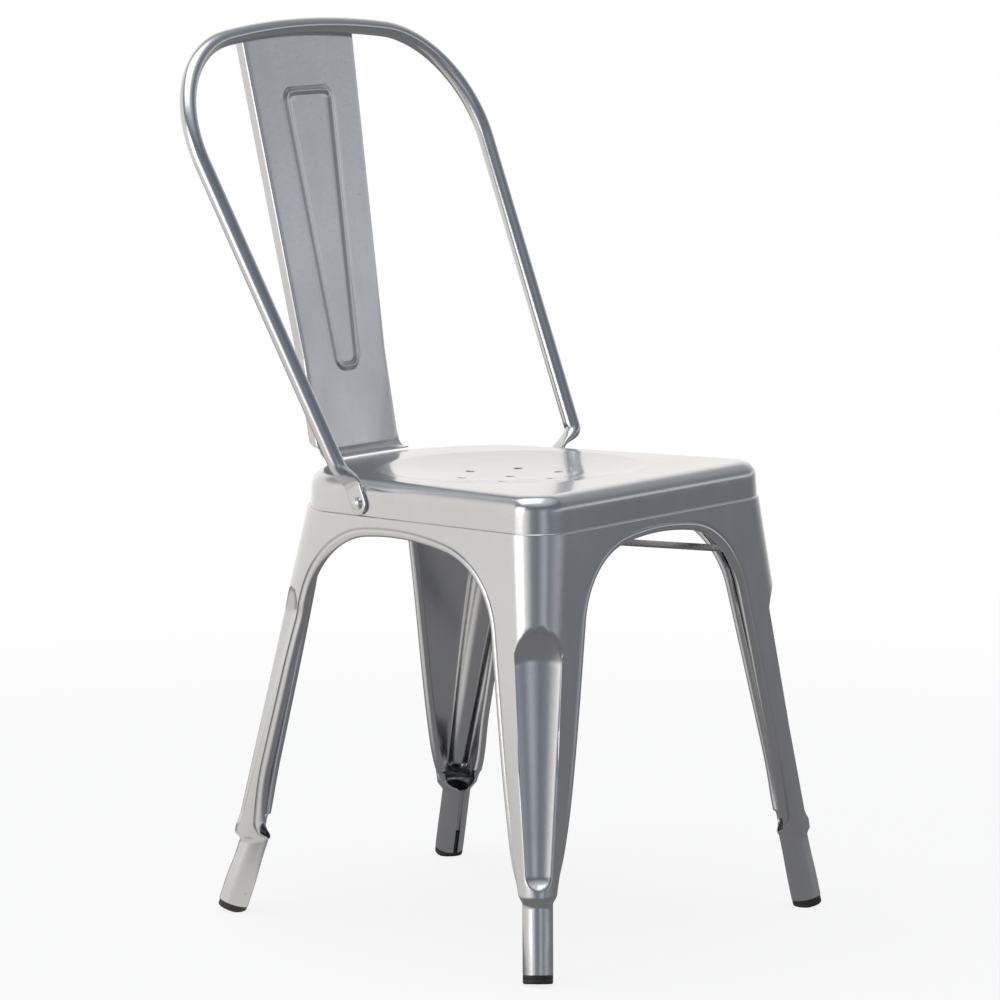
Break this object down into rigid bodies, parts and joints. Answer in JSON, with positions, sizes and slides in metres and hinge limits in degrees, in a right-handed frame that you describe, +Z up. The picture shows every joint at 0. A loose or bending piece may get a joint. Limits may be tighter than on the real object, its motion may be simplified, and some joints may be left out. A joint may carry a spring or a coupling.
{
  "type": "stacking side chair",
  "caption": "Pressed sheet-metal side chair with splayed legs, dished seat with drain holes, bent tube back hoop and centre splat.",
  "frame": {"origin": "on the floor, under the middle of the chair's bounding box", "axes": "+Z up, -Y towards the front edge of the seat, +X to the right seen from the front"},
  "size_m": [0.4526, 0.5004, 0.8568],
  "materials": {
    "seat_finish": "gloss metallic",
    "hoop_finish": "gloss metallic",
    "splat_finish": "gloss metallic",
    "leg_finish": "gloss metallic",
    "liner_steel": "satin",
    "glide_rubber": "satin",
    "rivet_steel": "bright",
    "strap_finish": "gloss metallic"
  },
  "bodies": {
    "root": {"seat_pan": "seat_finish", "back_hoop": "hoop_finish", "back_splat": "splat_finish", "front_left_leg": "leg_finish", "front_right_leg": "leg_finish", "rear_left_leg": "leg_finish", "rear_right_leg": "leg_finish", "leg_liner_front_left": "liner_steel", "leg_liner_front_right": "liner_steel", "leg_liner_rear_left": "liner_steel", "leg_liner_rear_right": "liner_steel", "foot_glide_front_left": "glide_rubber", "foot_glide_front_right": "glide_rubber", "foot_glide_rear_left": "glide_rubber", "foot_glide_rear_right": "glide_rubber", "hoop_rivet_left": "rivet_steel", "hoop_rivet_right": "rivet_steel", "under_seat_strap_upper": "strap_finish", "under_seat_strap_lower": "strap_finish"}
  },
  "joints": []
}
